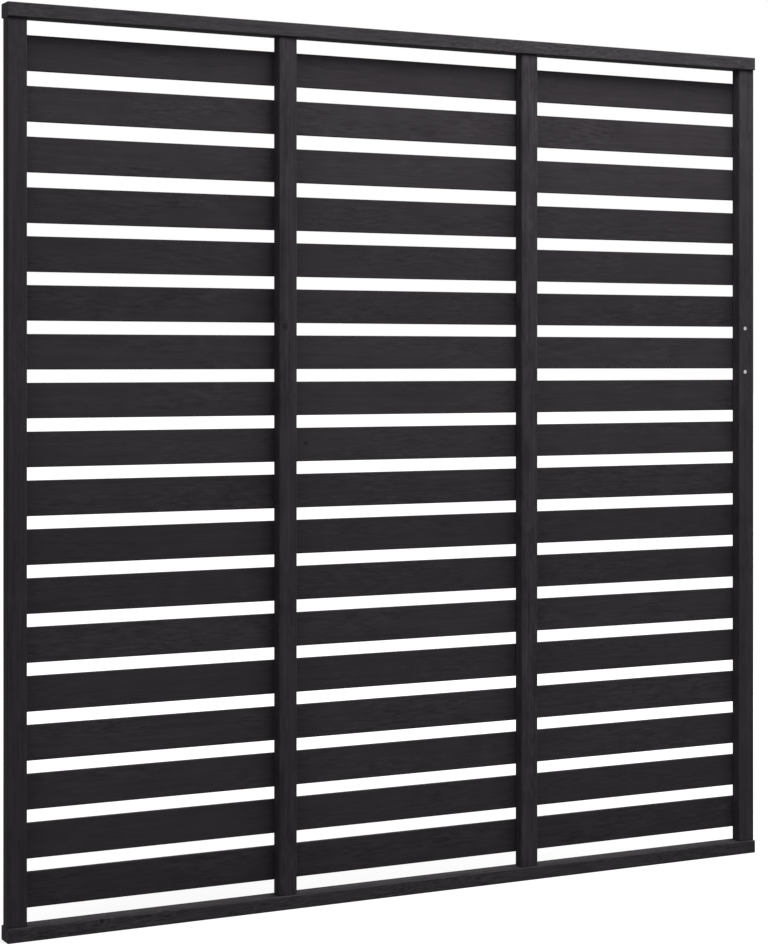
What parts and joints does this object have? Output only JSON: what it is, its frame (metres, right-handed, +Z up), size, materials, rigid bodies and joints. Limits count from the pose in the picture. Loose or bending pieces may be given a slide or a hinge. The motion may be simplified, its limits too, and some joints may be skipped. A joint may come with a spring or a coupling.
{
  "type": "garden privacy screen",
  "caption": "Slatted garden privacy screen: a black-stained timber frame of capping rails and upright posts, with spaced horizontal slats fixed across its back.",
  "frame": {"origin": "middle of the frame's footprint, on the underside of the bottom rail", "axes": "+X along the screen to the right as seen from the front, +Y towards the back where the slats are, +Z up"},
  "size_m": [1.75, 0.0424, 1.8],
  "materials": {
    "rail_timber": "planed softwood, black stain, satin",
    "post_timber": "planed softwood, black stain, satin",
    "slat_timber": "fine-sawn softwood, black stain, matt",
    "zinc_screw": "bright zinc plate"
  },
  "bodies": {
    "root": {"top_rail": "rail_timber", "bottom_rail": "rail_timber", "left_post": "post_timber", "left_middle_post": "post_timber", "right_middle_post": "post_timber", "right_post": "post_timber", "slat_01": "slat_timber", "slat_02": "slat_timber", "slat_03": "slat_timber", "slat_04": "slat_timber", "slat_05": "slat_timber", "slat_06": "slat_timber", "slat_07": "slat_timber", "slat_08": "slat_timber", "slat_09": "slat_timber", "slat_10": "slat_timber", "slat_11": "slat_timber", "slat_12": "slat_timber", "slat_13": "slat_timber", "slat_14": "slat_timber", "slat_15": "slat_timber", "slat_16": "slat_timber", "slat_17": "slat_timber", "slat_18": "slat_timber", "left_post_top_screw_left": "zinc_screw", "left_post_top_screw_right": "zinc_screw", "left_post_bottom_screw_left": "zinc_screw", "left_post_bottom_screw_right": "zinc_screw", "left_middle_post_top_screw_left": "zinc_screw", "left_middle_post_top_screw_right": "zinc_screw", "left_middle_post_bottom_screw_left": "zinc_screw", "left_middle_post_bottom_screw_right": "zinc_screw", "right_middle_post_top_screw_left": "zinc_screw", "right_middle_post_top_screw_right": "zinc_screw", "right_middle_post_bottom_screw_left": "zinc_screw", "right_middle_post_bottom_screw_right": "zinc_screw", "right_post_top_screw_left": "zinc_screw", "right_post_top_screw_right": "zinc_screw", "right_post_bottom_screw_left": "zinc_screw", "right_post_bottom_screw_right": "zinc_screw", "front_screw_lower": "zinc_screw", "front_screw_upper": "zinc_screw"}
  },
  "joints": []
}
